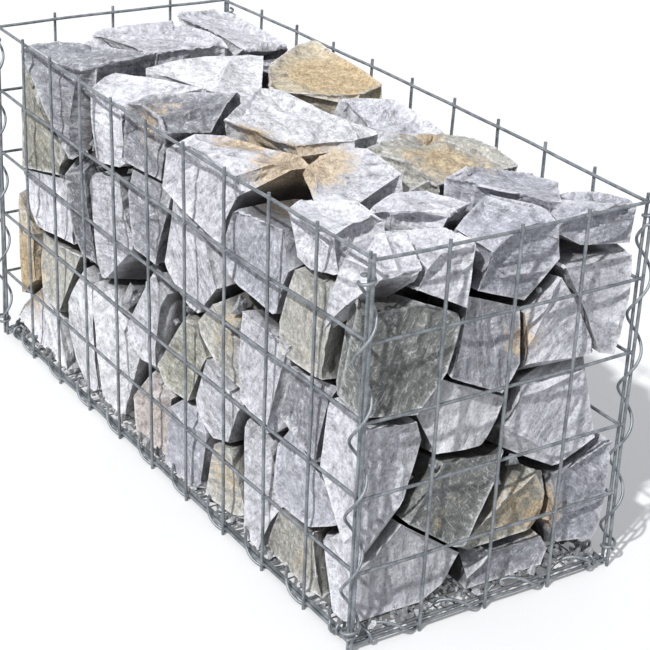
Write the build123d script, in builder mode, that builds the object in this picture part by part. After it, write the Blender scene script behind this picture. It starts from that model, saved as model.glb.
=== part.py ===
"""Stone-filled gabion basket: welded mesh panels, wire spirals and packed quarry stones.

Millimetres, +Z up, length along X, origin on the ground under the middle of the basket.
"""

import os
from math import atan2, cos, degrees, pi, radians, sin
from random import Random

from build123d import *

os.makedirs("parts", exist_ok=True)

# Basket, between the centre lines of its outer wires
length = 1000
width = 400
height = 500
mesh = 100

# Panel wire, a few-sided bar that is welded where it crosses another
wire = 4.5
wire_sides = 6
weld = 0.8
rim_stub = 9
wire_gap = 0.8

# Wire spirals that bind the edges of the panels
spiral_wire = 4
spiral_sides = 5
spiral_radius = 11.5
spiral_steps = 10
spiral_fit = 0.3
corner_hold_angle = 25
bottom_hold_angle = 60
corner_spiral_margin = 26
bottom_spiral_margin = 34

# Stone fill
fill_clearance = 0.8
fill_above_rim = 14
stone_gap = 0.3
seam_lean = 9
face_lean = 9
chip_count = 5
chip_least = 0.80
chip_most = 0.95

# A spiral holds its wire against the inside of its turns
wire_corner = wire / 2 / cos(pi / wire_sides)
spiral_bore = (spiral_radius - spiral_wire / 2) * cos(pi / spiral_steps)
spiral_hold = spiral_bore - wire_corner - spiral_fit
spiral_reach = spiral_radius + spiral_wire / 2 / cos(pi / spiral_sides)

# Levels: the uprights stand on the ground, and the bottom spirals just clear it below the lowest rails
weld_step = wire - weld
bottom_axis_z = spiral_reach + spiral_fit
foot_level = bottom_axis_z - spiral_hold * sin(radians(bottom_hold_angle))
rim_level = foot_level + height
columns_long = max(1, round(length / mesh))
columns_end = max(1, round(width / mesh))
rows = max(1, round(height / mesh))

# The end panels stand outside the ends of the long panels
long_uprights_y = width / 2
long_rails_y = long_uprights_y - weld_step
end_rails_x = length / 2 + wire + wire_gap
end_uprights_x = end_rails_x + weld_step

# The base lies between the long panels, its crosswise wires on top
base_width = 2 * (long_rails_y - wire - wire_gap)
base_level = foot_level
base_top = base_level + weld_step + wire / 2


def mesh_panel(label, face, across, rise, columns, lines):
    """Panel on the face plane: bars along its y on the plane, bars along its x welded behind them."""
    behind = face.offset(-weld_step)
    with BuildPart() as panel:
        bar_foot = face.from_local_coords((0, -rise / 2 - foot_level, 0))
        with BuildSketch(Plane(bar_foot, x_dir=face.x_dir, z_dir=face.y_dir)):
            with GridLocations(across / columns, 1, columns + 1, 1):
                RegularPolygon(wire / 2, wire_sides, major_radius=False)
        extrude(amount=foot_level + rise + rim_stub)
        bar_end = behind.from_local_coords((-across / 2 - wire / 2, 0, 0))
        with BuildSketch(Plane(bar_end, x_dir=face.y_dir, z_dir=face.x_dir)):
            with GridLocations(rise / lines, 1, lines + 1, 1):
                RegularPolygon(wire / 2, wire_sides, major_radius=False)
        extrude(amount=across + wire)
    panel.part.label = label
    export_step(panel.part, f"parts/{label}.step")


panel_middle = foot_level + height / 2
front_face = Plane((0, -long_uprights_y, panel_middle), x_dir=(1, 0, 0), z_dir=(0, -1, 0))
back_face = Plane((0, long_uprights_y, panel_middle), x_dir=(-1, 0, 0), z_dir=(0, 1, 0))
right_face = Plane((end_uprights_x, 0, panel_middle), x_dir=(0, 1, 0), z_dir=(1, 0, 0))
left_face = Plane((-end_uprights_x, 0, panel_middle), x_dir=(0, -1, 0), z_dir=(-1, 0, 0))

mesh_panel("front_panel", front_face, length, height, columns_long, rows)
mesh_panel("back_panel", back_face, length, height, columns_long, rows)
mesh_panel("right_panel", right_face, width, height, columns_end, rows)
mesh_panel("left_panel", left_face, width, height, columns_end, rows)


def base_mesh():
    """Floor of the basket: lengthwise wires below, crosswise wires welded on top of them."""
    with BuildPart() as base:
        with BuildSketch(Plane((-length / 2 - wire / 2, 0, base_level), x_dir=(0, 1, 0), z_dir=(1, 0, 0))):
            with GridLocations(base_width / columns_end, 1, columns_end + 1, 1):
                RegularPolygon(wire / 2, wire_sides, major_radius=False)
        extrude(amount=length + wire)
        cross_start = Plane(
            (0, -base_width / 2 - wire / 2, base_level + weld_step), x_dir=(1, 0, 0), z_dir=(0, 1, 0)
        )
        with BuildSketch(cross_start):
            with GridLocations(length / columns_long, 1, columns_long + 1, 1):
                RegularPolygon(wire / 2, wire_sides, major_radius=False)
        extrude(amount=base_width + wire)
    base.part.label = "base_panel"
    export_step(base.part, "parts/base_panel.step")


base_mesh()


def spiral(label, axis, run, pitch, inner_angle, inner_at):
    """Wire spiral round the axis plane's z, inside the basket at inner_at and each pitch from there."""
    step_angle = 360 / spiral_steps
    steps = int(run / pitch * spiral_steps)
    climb = pitch / 360
    slope = pitch / (2 * pi * spiral_radius)
    with BuildPart() as binder:
        for step in range(steps + 1):
            along = step * step_angle * climb
            turn = radians(inner_angle + (along - inner_at) / climb)
            out = axis.x_dir * cos(turn) + axis.y_dir * sin(turn)
            tangent = axis.y_dir * cos(turn) - axis.x_dir * sin(turn) + axis.z_dir * slope
            middle = axis.origin + out * spiral_radius + axis.z_dir * along
            with BuildSketch(Plane(middle, x_dir=out, z_dir=tangent)):
                RegularPolygon(spiral_wire / 2, spiral_sides, major_radius=False)
        loft(ruled=True)
    binder.part.label = label
    export_step(binder.part, f"parts/{label}.step")


row_pitch = height / rows
long_pitch = length / columns_long
end_pitch = width / columns_end

# The corner spirals hold the outer uprights of the end panels
corner_axis_x = end_uprights_x - spiral_hold * cos(radians(corner_hold_angle))
corner_axis_y = width / 2 + spiral_hold * sin(radians(corner_hold_angle))
corner_start = foot_level + corner_spiral_margin
corner_run = height - 2 * corner_spiral_margin

for end_name, end_side in (("left", -1), ("right", 1)):
    for long_name, long_side in (("front", -1), ("back", 1)):
        corner = Plane((end_side * corner_axis_x, long_side * corner_axis_y, corner_start))
        inward = degrees(atan2(-long_side, -end_side))
        first_middle = row_pitch / 2 - corner_spiral_margin
        spiral(f"{long_name}_{end_name}_spiral", corner, corner_run, row_pitch, inward, first_middle)

# The bottom spirals hold the lowest rails
bottom_side = spiral_hold * cos(radians(bottom_hold_angle))
long_bottom_y = long_rails_y - bottom_side
end_bottom_x = end_rails_x - bottom_side

bottom_edges = (
    ("front", Vector(0, -1, 0), long_bottom_y, length, long_pitch),
    ("back", Vector(0, 1, 0), long_bottom_y, length, long_pitch),
    ("left", Vector(-1, 0, 0), end_bottom_x, width, end_pitch),
    ("right", Vector(1, 0, 0), end_bottom_x, width, end_pitch),
)
for side_name, outward, distance, span, pitch in bottom_edges:
    along = Vector(0, 0, 1).cross(outward)
    edge_start = outward * distance - along * (span / 2 - bottom_spiral_margin)
    edge = Plane(edge_start + Vector(0, 0, bottom_axis_z), x_dir=outward, z_dir=along)
    first_inside = pitch / 4 - bottom_spiral_margin
    edge_run = span - 2 * bottom_spiral_margin
    spiral(f"{side_name}_bottom_spiral", edge, edge_run, pitch, 180, first_inside)

# Stones by the node they lie in: percent of the fill's length, depth and height, then swell in mm
stones = {
    "front_stones_1": [(16.5, 14, 91, 6), (11.5, 14, 73, 4), (15, 14, 50, 0), (25, 17, 57, -6)],
    "front_stones_2": [(4, 14, 22, 0), (15, 14, 31, 0), (10, 14, 10, 0), (24.5, 14, 21, 0)],
    "front_stones_3": [(33.5, 14, 90, 6), (34.5, 14, 60, 10), (35, 14, 20, 8)],
    "front_stones_4": [(44.5, 14, 91, 0), (45, 14, 70, 0), (45.5, 14, 44, 0), (47.5, 14, 11, -6)],
    "front_stones_5": [(59.5, 14, 90, 10), (57, 14, 66, 8), (56, 14, 38, 0), (57.5, 14, 10, 0)],
    "front_stones_6": [(66.5, 14, 50, -6), (65, 14, 30, 0), (66.5, 14, 11, -8), (75, 14, 80, 12)],
    "front_stones_7": [(76, 14, 47, 0), (75, 14, 20, 10), (87, 14, 45, -8), (85, 14, 30, 0)],
    "front_stones_8": [(87.5, 14, 74, 14), (86.5, 12, 96, -6), (86.5, 12, 8, -8)],
    "corner_stones": [(95, 14, 72, 12), (95, 13, 43, 0), (93.5, 22, 10, 10), (95, 14, 98, -4)],
    "right_stones_1": [(94, 27, 91, -6), (94, 54, 90, 8), (95, 86, 97, -6), (94, 88, 77, 6)],
    "right_stones_2": [(95, 48, 69, 0), (95.5, 71, 70, -10), (94.5, 37, 51, 0), (93, 77, 44, 14)],
    "right_stones_3": [(94, 37, 29, 4), (95, 65, 20, -4), (93, 64, 7, -2), (94.5, 88, 17, 0)],
    "top_stones_1": [(13, 87, 94, 10), (14, 56, 94, 10), (32, 46, 93, -4)],
    "top_stones_2": [(39.5, 87, 95, 10), (56, 46, 95, 26), (57, 82, 91, -4)],
    "top_stones_3": [(77.5, 30, 93, -10), (74.5, 72, 93, 4), (86, 76, 94, 4), (86.5, 40, 96, 6)],
    "back_stones_1": [(10, 86, 17, 0), (28, 87, 14, 0), (47, 86, 20, 0)],
    "back_stones_2": [(65, 87, 15, 0), (81, 86, 19, 0), (78, 86, 52, 0)],
    "back_stones_3": [(9, 87, 50, 0), (25, 86, 44, 0), (42, 87, 54, 0), (60, 87, 46, 0)],
    "back_stones_4": [(18, 87, 75, 0), (36, 86, 77, 0), (55, 87, 74, 0), (72, 87, 77, 0)],
    "left_stones": [(5.5, 50, 18, 0), (5.5, 47, 52, 0), (6, 54, 76, 0)],
    "core_stones_1": [(21, 50, 24, 0), (42, 50, 26, 0), (63, 50, 24, 0), (80, 50, 26, 0)],
    "core_stones_2": [(20, 51, 62, 0), (39, 49, 64, 0), (58, 50, 62, 0), (77, 50, 64, 0)],
}

# Voids that show as dark pockets, placed as the stones are
front_voids = [(25.5, 2, 88, -24), (22.5, 2, 70, -18), (1, 2, 80, 0), (42, 3, 48, -22), (46.5, 3, 29, -24)]
front_voids += [(42.5, 3, 9, -22), (68, 3, 62, -24), (52.5, 3, 45, -28), (70, 2, 21, -30), (85, 2, 11, -30)]
right_voids = [(99, 11, 92, -18), (99, 68, 62, -22), (99, 95, 49, -14), (99, 6, 19, -18), (99, 60, 28, -26)]
right_voids += [(98, 40, 3, -20), (98, 84, 3, -18)]
top_voids = [(50, 93, 97, -16), (61.5, 82, 100, -20), (74, 9, 99, -24), (90.5, 14, 100, -24), (89, 85, 99, -20)]
top_voids += [(70, 97, 108, 0), (88, 96, 108, 0), (99, 97, 106, -6)]
voids = front_voids + right_voids + top_voids

# The space that the fill takes up inside the mesh
fill_x = end_rails_x - wire / 2 - fill_clearance
fill_y = long_rails_y - wire / 2 - fill_clearance
fill_floor = base_top + stone_gap
fill_top = rim_level + fill_above_rim
fill_rise = fill_top - fill_floor


def place_of(share_x, share_y, share_z):
    """Point of the fill from its percent of the length, the depth and the height."""
    across = (share_x / 50 - 1) * fill_x
    deep = (share_y / 50 - 1) * fill_y
    return Vector(across, deep, fill_floor + share_z / 100 * height)


def spiral_walls():
    """Planes that keep the stones off the spirals, one along each upright and bottom edge."""
    walls = []
    clear = spiral_reach + fill_clearance
    for end_side in (-1, 1):
        for long_side in (-1, 1):
            outward = Vector(end_side, long_side, 0).normalized()
            axis = Vector(end_side * corner_axis_x, long_side * corner_axis_y, 0)
            walls.append(Plane(axis - outward * clear, z_dir=outward))
    for _, side, distance, _, _ in bottom_edges:
        outward = (side - Vector(0, 0, 1)).normalized()
        axis = side * distance + Vector(0, 0, bottom_axis_z)
        walls.append(Plane(axis - outward * clear, z_dir=outward))
    return walls


def leaning(direction, most, dice):
    """The direction turned by up to most degrees, any way."""
    sideways = Vector(dice.uniform(-1, 1), dice.uniform(-1, 1), dice.uniform(-1, 1))
    return (direction + sideways * sin(radians(most))).normalized()


def seam(first, second, sites):
    """Plane between two neighbours, facing the second, where their faces meet."""
    place, swell = sites[first]
    other, other_swell = sites[second]
    apart = other - place
    reach = apart.length / 2 + (swell - other_swell) / 2
    dice = Random(first * len(sites) + second)
    return Plane(place + apart.normalized() * reach, z_dir=leaning(apart.normalized(), seam_lean, dice))


def reaches(block, plane):
    """Whether any corner of the block lies beyond the plane."""
    corners = block.vertices()
    return max((Vector(corner) - plane.origin).dot(plane.z_dir) for corner in corners) > 1e-6


def sorted_corners(block):
    """Corners of the block, always in the same order."""
    corners = [Vector(corner) for corner in block.vertices()]
    return sorted(corners, key=lambda corner: (round(corner.X, 3), round(corner.Y, 3), round(corner.Z, 3)))


def leaned_face(block, outward, dice):
    """Plane that trades the flat face on this side of the block for one that leans."""
    side = block.faces().sort_by(Axis((0, 0, 0), tuple(outward)))[-1]
    normal = leaning(outward, face_lean, dice)
    corners = [Vector(corner) for corner in side.vertices()]
    hinge = min(corners, key=lambda corner: corner.dot(normal))
    return Plane(hinge, z_dir=normal)


sites = []
for group in stones.values():
    sites += [(place_of(*row[:3]), row[3]) for row in group]
stone_count = len(sites)
sites += [(place_of(*row[:3]), row[3]) for row in voids]
walls = spiral_walls()
open_sides = (
    (Vector(0, -1, 0), fill_y),
    (Vector(0, 1, 0), fill_y),
    (Vector(-1, 0, 0), fill_x),
    (Vector(1, 0, 0), fill_x),
    (Vector(0, 0, 1), fill_top),
)


def packed_stone(index):
    """One stone: a block of the fill split along its seams, then with leaning faces and chipped corners."""
    place = sites[index][0]
    dice = Random(index)
    neighbours = sorted(range(len(sites)), key=lambda other: (sites[other][0] - place).length)
    with BuildPart() as stone:
        with Locations((0, 0, fill_floor)):
            Box(2 * fill_x, 2 * fill_y, fill_rise, align=(Align.CENTER, Align.CENTER, Align.MIN))
        for other in neighbours[1:]:
            if other > index:
                cut = seam(index, other, sites).offset(-stone_gap / 2)
            else:
                facing = seam(other, index, sites)
                cut = Plane(facing.origin, z_dir=-facing.z_dir).offset(-stone_gap / 2)
            if reaches(stone.part, cut):
                split(bisect_by=cut, keep=Keep.BOTTOM)
        for wall in walls:
            if reaches(stone.part, wall):
                split(bisect_by=wall, keep=Keep.BOTTOM)
        for outward, distance in open_sides:
            farthest = max(Vector(corner).dot(outward) for corner in stone.vertices())
            if farthest > distance - fill_clearance:
                split(bisect_by=leaned_face(stone, outward, dice), keep=Keep.BOTTOM)
        corners = sorted_corners(stone)
        for corner in dice.sample(corners, min(chip_count, len(corners))):
            share = dice.uniform(chip_least, chip_most)
            chip = Plane(place + (corner - place) * share, z_dir=(corner - place).normalized())
            if reaches(stone.part, chip):
                split(bisect_by=chip, keep=Keep.BOTTOM)
    return stone.part


next_stone = 0
for label, group in stones.items():
    blocks = [packed_stone(next_stone + offset) for offset in range(len(group))]
    next_stone += len(group)
    with BuildPart() as heap:
        add(blocks)
    heap.part.label = label
    export_step(heap.part, f"parts/{label}.step")
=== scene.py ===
import math
import random

import bmesh
import bpy
import numpy as np
from mathutils import Matrix, Vector


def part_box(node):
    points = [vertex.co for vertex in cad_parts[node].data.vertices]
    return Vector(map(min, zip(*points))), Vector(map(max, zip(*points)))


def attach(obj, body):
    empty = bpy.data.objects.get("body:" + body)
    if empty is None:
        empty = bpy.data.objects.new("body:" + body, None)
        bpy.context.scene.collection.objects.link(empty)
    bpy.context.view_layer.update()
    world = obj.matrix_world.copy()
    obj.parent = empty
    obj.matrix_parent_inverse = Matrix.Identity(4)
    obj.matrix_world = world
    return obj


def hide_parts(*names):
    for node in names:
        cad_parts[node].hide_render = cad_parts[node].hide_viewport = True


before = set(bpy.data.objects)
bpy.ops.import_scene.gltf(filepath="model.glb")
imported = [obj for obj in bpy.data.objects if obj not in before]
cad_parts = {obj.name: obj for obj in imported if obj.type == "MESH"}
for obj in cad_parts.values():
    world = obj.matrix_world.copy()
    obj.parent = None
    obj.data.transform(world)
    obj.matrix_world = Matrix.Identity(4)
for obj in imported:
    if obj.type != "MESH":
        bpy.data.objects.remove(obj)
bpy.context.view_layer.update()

print("frame:", len(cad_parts), "nodes")


# A socket of a node tree that takes part in Python expressions
class Sock:
    def __init__(self, tree, out):
        self.tree = tree
        self.out = out

    def node(self, kind, settings=None, inputs=None, output=0):
        made = self.tree.nodes.new(kind)
        for name, value in (settings or {}).items():
            setattr(made, name, value)
        for key, value in (inputs or {}).items():
            feed(self.tree, made.inputs[key], value)
        return Sock(self.tree, made.outputs[output])

    def maths(self, operation, first, second):
        return self.node("ShaderNodeMath", {"operation": operation}, {0: first, 1: second})

    def __add__(self, other):
        return self.maths("ADD", self, other)

    def __radd__(self, other):
        return self.maths("ADD", other, self)

    def __sub__(self, other):
        return self.maths("SUBTRACT", self, other)

    def __rsub__(self, other):
        return self.maths("SUBTRACT", other, self)

    def __mul__(self, other):
        return self.maths("MULTIPLY", self, other)

    def __rmul__(self, other):
        return self.maths("MULTIPLY", other, self)

    def __truediv__(self, other):
        return self.maths("DIVIDE", self, other)

    def __rtruediv__(self, other):
        return self.maths("DIVIDE", other, self)


def feed(tree, socket, value):
    if isinstance(value, Sock):
        tree.links.new(value.out, socket)
    else:
        socket.default_value = value


def ramped(value, low, high):
    settings = {"interpolation_type": "SMOOTHSTEP"}
    return value.node("ShaderNodeMapRange", settings, {"Value": value, "From Min": low, "From Max": high})


def vectorSum(first, second):
    return first.node("ShaderNodeVectorMath", {"operation": "ADD"}, {0: first, 1: second})


def vectorTimes(vector, factor):
    return vector.node("ShaderNodeVectorMath", {"operation": "SCALE"}, {0: vector, "Scale": factor})


def vectorDot(first, second):
    return first.node("ShaderNodeVectorMath", {"operation": "DOT_PRODUCT"}, {0: first, 1: second}, "Value")


def noise(vector, scale, detail=3.0, roughness=0.55, distortion=0.0):
    inputs = {"Vector": vector, "Scale": scale, "Detail": detail}
    inputs.update({"Roughness": roughness, "Distortion": distortion})
    return vector.node("ShaderNodeTexNoise", {"noise_dimensions": "3D"}, inputs)


def blendColour(factor, low, high):
    settings = {"data_type": "RGBA", "clamp_factor": True}
    return factor.node("ShaderNodeMix", settings, {0: factor, 6: low, 7: high}, 2)


# Material tree with its shader at hand
def startMaterial(name):
    material = bpy.data.materials.new(name)
    material.use_nodes = True
    tree = material.node_tree
    tree.nodes.clear()
    end = tree.nodes.new("ShaderNodeOutputMaterial")
    shader = tree.nodes.new("ShaderNodeBsdfPrincipled")
    tree.links.new(shader.outputs[0], end.inputs["Surface"])
    return material, tree, shader


def sourceNode(tree, kind, settings=None, output=0):
    return Sock(tree, None).node(kind, settings, None, output)


# Geometry Nodes tree with named inputs, and its end
def startTree(name, wanted):
    tree = bpy.data.node_groups.new(name, "GeometryNodeTree")
    face = tree.interface
    face.new_socket("Geometry", in_out="OUTPUT", socket_type="NodeSocketGeometry")
    face.new_socket("Geometry", in_out="INPUT", socket_type="NodeSocketGeometry")
    for socketName, kind in wanted.items():
        face.new_socket(socketName, in_out="INPUT", socket_type="NodeSocket" + kind)
    gate = tree.nodes.new("NodeGroupInput")
    given = {socket.name: Sock(tree, socket) for socket in gate.outputs if socket.name}
    return tree, given


def endTree(tree, geometry, material):
    whole = geometry.node("GeometryNodeRealizeInstances", None, {"Geometry": geometry})
    dressed = whole.node("GeometryNodeSetMaterial", None, {"Geometry": whole, "Material": material})
    end = tree.nodes.new("NodeGroupOutput")
    tree.links.new(dressed.out, end.inputs[0])


def joined(tree, parts):
    whole = sourceNode(tree, "GeometryNodeJoinGeometry")
    for part in parts:
        tree.links.new(part.out, whole.out.node.inputs[0])
    return whole


def storedLayer(tree, name, kind="FLOAT"):
    return Sock(tree, None).node("GeometryNodeInputNamedAttribute", {"data_type": kind}, {"Name": name})


# Round wire along curves
def roundWire(path, radius, sides):
    circle = {"Resolution": sides, "Radius": radius}
    ring = path.node("GeometryNodeCurvePrimitiveCircle", {"mode": "RADIUS"}, circle)
    swept = {"Curve": path, "Profile Curve": ring, "Fill Caps": True}
    return path.node("GeometryNodeCurveToMesh", None, swept)


# Runs a tree on a mesh and gives back a plain mesh
def grown(mesh, tree, values):
    carrier = bpy.data.objects.new("carrier", mesh)
    bpy.context.scene.collection.objects.link(carrier)
    modifier = carrier.modifiers.new("grow", "NODES")
    modifier.node_group = tree
    for item in tree.interface.items_tree:
        if item.in_out == "INPUT" and item.name in values:
            modifier[item.identifier] = values[item.name]
    ready = carrier.evaluated_get(bpy.context.evaluated_depsgraph_get())
    plain = bpy.data.meshes.new_from_object(ready)
    bpy.data.objects.remove(carrier)
    return plain


def addPiece(name, mesh, nodes):
    mesh.name = name
    piece = bpy.data.objects.new(name, mesh)
    bpy.context.scene.collection.objects.link(piece)
    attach(piece, "root")
    if nodes:
        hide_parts(*nodes)


# Zinc-coated wire, dull blue-grey with paler bloom
zinc = {
    "dark": (0.150, 0.168, 0.185, 1.0),
    "light": (0.330, 0.355, 0.375, 1.0),
    "bloomScale": 55.0,
    "spangleScale": 420.0,
    "bloomShare": 0.7,
    "spangleShare": 0.3,
    "toneReach": (0.36, 0.66),
    "metallic": 0.55,
    "leastRough": 0.34,
    "moreRough": 0.3,
    "bump": {"Strength": 0.25, "Distance": 0.0003},
}


def zincMaterial():
    material, tree, shader = startMaterial("zincWire")
    place = sourceNode(tree, "ShaderNodeTexCoord", None, "Object")
    bloom = noise(place, zinc["bloomScale"], detail=4.0, roughness=0.6)
    spangle = noise(place, zinc["spangleScale"], detail=2.0, roughness=0.5)
    tone = ramped(bloom * zinc["bloomShare"] + spangle * zinc["spangleShare"], *zinc["toneReach"])
    colour = blendColour(tone, zinc["dark"], zinc["light"])
    feed(tree, shader.inputs["Base Color"], colour)
    feed(tree, shader.inputs["Metallic"], zinc["metallic"])
    feed(tree, shader.inputs["Roughness"], zinc["leastRough"] + zinc["moreRough"] * tone)
    bump = spangle.node("ShaderNodeBump", None, {**zinc["bump"], "Height": spangle})
    feed(tree, shader.inputs["Normal"], bump)
    return material


# Stone finishes by name, and the iron stain that some stones carry
stoneTints = {
    "slate": (0.44, 0.445, 0.495),
    "pale": (0.655, 0.655, 0.695),
    "white": (0.77, 0.77, 0.80),
    "grey": (0.34, 0.345, 0.375),
    "dark": (0.20, 0.205, 0.225),
    "green": (0.235, 0.245, 0.230),
    "olive": (0.41, 0.405, 0.345),
    "beige": (0.49, 0.48, 0.435),
    "ochre": (0.54, 0.475, 0.36),
    "pink": (0.53, 0.475, 0.45),
}
ironTones = {"dark": (0.34, 0.22, 0.10, 1.0), "light": (0.72, 0.56, 0.33, 1.0), "reach": (0.38, 0.60)}

# Patterns of the stone, in turns per metre, and how far the bedding draws them out
stonePatterns = {
    "broad": {"scale": 9.0, "detail": 3.0, "roughness": 0.55},
    "mottle": {"scale": 95.0, "detail": 6.0, "roughness": 0.74},
    "fine": {"scale": 300.0, "detail": 3.0, "roughness": 0.70},
    "streak": {"scale": 30.0, "detail": 5.0, "roughness": 0.62, "distortion": 0.5},
    "scratch": {"scale": 46.0, "detail": 3.0, "roughness": 0.55, "distortion": 0.3},
}
patternBedding = {"streak": 5.0, "scratch": 13.0, "flakes": 1.5}
flakeScale = 38.0

# Shade of the bare stone: the weight of each pattern, and the two ends of its ramp
leastShade = 0.38
shadeWeights = {
    "broad": (0.20, 0.32, 0.68),
    "mottle": (0.40, 0.38, 0.62),
    "streak": (0.26, 0.36, 0.64),
    "fine": (0.30, 0.34, 0.66),
}
reliefWeights = {"mottle": 0.8, "fine": 0.35, "streak": 0.6, "flakes": 0.8}
stoneBump = {"Strength": 0.75, "Distance": 0.005}
stoneGloss = {"rough": 0.92, "palePolish": 0.22}

# Coats over the bare stone, in the order in which they lie; rust has two tones of its own, and the last coat
# is painted shade, a near-black laid on stone deep inside the fill where the hollows lie in shadow
stoneCoats = {
    "pale": {"weight": 0.60, "reach": (0.53, 0.63), "tone": (0.84, 0.84, 0.86, 1.0)},
    "grime": {"weight": 0.60, "reach": (0.44, 0.34), "tone": (0.14, 0.14, 0.14, 1.0)},
    "scratch": {"weight": 0.50, "reach": (0.60, 0.70), "tone": (0.86, 0.86, 0.87, 1.0)},
    "worn": {"weight": 0.45, "reach": (0.45, 0.95), "tone": (0.82, 0.82, 0.84, 1.0)},
    "rust": {"weight": 0.72, "reach": (0.34, 0.66)},
    # painted shade: near-black on stone deep inside the fill, where the hollows lie in shadow
    "paintedShade": {"weight": 0.86, "reach": (0.05, 0.75), "tone": (0.045, 0.042, 0.040, 1.0)},
}


def stoneMaterial():
    material, tree, shader = startMaterial("quarryStone")
    place = sourceNode(tree, "ShaderNodeTexCoord", None, "Object")

    def layer(name, output="Fac"):
        return sourceNode(tree, "ShaderNodeAttribute", {"attribute_name": name}, output)

    bed = layer("bed", "Vector")
    own = vectorSum(place, layer("shift", "Vector"))
    across = vectorDot(own, bed)

    def bedded(name):
        return vectorSum(own, vectorTimes(bed, across * patternBedding[name]))

    pattern = {}
    for name, look in stonePatterns.items():
        pattern[name] = noise(bedded(name) if name in patternBedding else own, **look)
    cells = {"Vector": bedded("flakes"), "Scale": flakeScale, "Randomness": 1.0}
    pattern["flakes"] = own.node("ShaderNodeTexVoronoi", {"feature": "F1"}, cells, "Distance")
    fine, mottle, streak = pattern["fine"], pattern["mottle"], pattern["streak"]
    mottled = mottle - 0.5
    coatPatterns = {
        "pale": mottle * 0.55 + fine * 0.45,
        "grime": streak * 0.5 + mottle * 0.5,
        "scratch": pattern["scratch"],
        "worn": layer("edge") * 0.9 + mottled * 1.2,
        "rust": layer("iron") + mottled * 1.3 + (streak - 0.5) * 0.8,
        # painted shade, growing with depth inside the fill
        "paintedShade": layer("deep") + mottled * 0.5,
    }
    rusted = ramped(fine * 0.5 + mottle * 0.5, *ironTones["reach"])
    rustTone = blendColour(rusted, ironTones["dark"], ironTones["light"])

    shade = leastShade
    for name, (weight, low, high) in shadeWeights.items():
        shade = shade + weight * ramped(pattern[name], low, high)
    stone = vectorTimes(layer("tint", "Color"), shade)
    shares = {}
    for name, coat in stoneCoats.items():
        shares[name] = ramped(coatPatterns[name], *coat["reach"])
        stone = blendColour(shares[name] * coat["weight"], stone, coat.get("tone", rustTone))
    relief = 0.0
    for name, weight in reliefWeights.items():
        relief = relief + pattern[name] * weight
    feed(tree, shader.inputs["Base Color"], stone)
    feed(tree, shader.inputs["Roughness"], stoneGloss["rough"] - stoneGloss["palePolish"] * shares["pale"])
    bump = relief.node("ShaderNodeBump", None, {**stoneBump, "Height": relief})
    feed(tree, shader.inputs["Normal"], bump)
    return material


zincWire = zincMaterial()
quarryStone = stoneMaterial()
print("materials ready")


# Quarry stones: chipped blocks, finely divided where they show
stoneShape = {
    "smallFace": 0.0022,
    "meshFacing": 0.93,
    "meshNear": 0.045,
    "footFacing": (-0.85, -0.5),
    "footNear": 0.06,
    "probeSpread": 0.6,
    "probeStep": 0.004,
    "probeReach": 0.100,
    "seamGap": 0.0065,
    "margin": 0.085,
    "slit": 0.024,
    "meshSlit": 0.014,
    "mostPush": 0.080,
    "upFacing": 0.6,
    "topZone": 0.08,
    "topLayer": 0.05,
    "meshTouch": 0.002,
    "faceLean": 0.035,
    "endSink": 0.020,
    "sideSink": 0.009,
    "topLean": 0.12,
    "topSink": 0.016,
    "faceFacets": {"count": 2, "lean": (0.08, 0.30), "depth": (0.002, 0.011)},
    "topFacets": {"count": 4, "lean": (0.10, 0.50), "depth": (0.003, 0.016)},
    "chips": 6,
    "chipLeast": 0.0015,
    "chipMost": 0.013,
    "chipTilt": 0.42,
    "chipFew": 2.5,
    "edgeTurn": 0.28,
    "edgeBand": 0.013,
    "fineEdge": 0.0078,
    "coarseEdge": 0.034,
    "fineDepth": 0.032,
    "coarseDepth": 0.090,
    "footFine": 0.02,
    "topFine": 0.03,
    "shortEdge": 0.0006,
    "sharpAngle": 34,
    "topRough": 0.8,
    "roughBelow": 0.10,
    "roughFade": 0.05,
    # painted shade in the hollows: where it starts inside the fill, how far in it reaches full, and how far
    # below the top it starts
    "paintedShadeStart": 0.011,
    "paintedShadeReach": 0.032,
    "paintedShadeTop": 0.035,
    "bedLean": 0.3,
    "bedRise": 0.5,
    "bedTop": 0.09,
    "patternShift": 5,
    "seed": 23,
    "seedSteps": (7, 131, 3001),
}
splitEases = (22, 16, 11, 8, 5.6, 4, 2.8, 2, 1.4, 1, 1)
stoneRelief = {
    "Swell Size": 0.085,
    "Swell Height": 0.0045,
    "Ledge Size": 0.052,
    "Ledge Height": 0.0055,
    "Grain Size": 0.030,
    "Grain Height": 0.0026,
    "Bedding": 2.2,
    "Softness": 0.30,
}
stoneNodes = sorted(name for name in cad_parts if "stones" in name)
stoneBoxes = [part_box(name) for name in stoneNodes]
fillLow = np.array([low for low, high in stoneBoxes]).min(0)
fillHigh = np.array([high for low, high in stoneBoxes]).max(0)


# A direction in space with no lean to any side
def anyWay(dice, spread=1):
    return Vector((dice.gauss(0, spread), dice.gauss(0, spread), dice.gauss(0, spread)))


# How far a block reaches in a direction
def reachOf(block, outward):
    return max(vert.co.dot(outward) for vert in block.verts)


# Corner points of each stone in a node, always in the same order
def stoneCorners(node):
    whole = bmesh.new()
    whole.from_mesh(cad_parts[node].data)
    bmesh.ops.remove_doubles(whole, verts=whole.verts, dist=1e-5)
    whole.verts.ensure_lookup_table()
    seen = set()
    stones = []
    for start in whole.verts:
        if start in seen:
            continue
        seen.add(start)
        reached = [start]
        for vert in reached:
            for joint in vert.link_edges:
                other = joint.other_vert(vert)
                if other not in seen:
                    seen.add(other)
                    reached.append(other)
        stones.append(sorted(tuple(round(part, 5) for part in vert.co) for vert in reached))
    whole.free()
    return sorted(stones)


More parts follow.
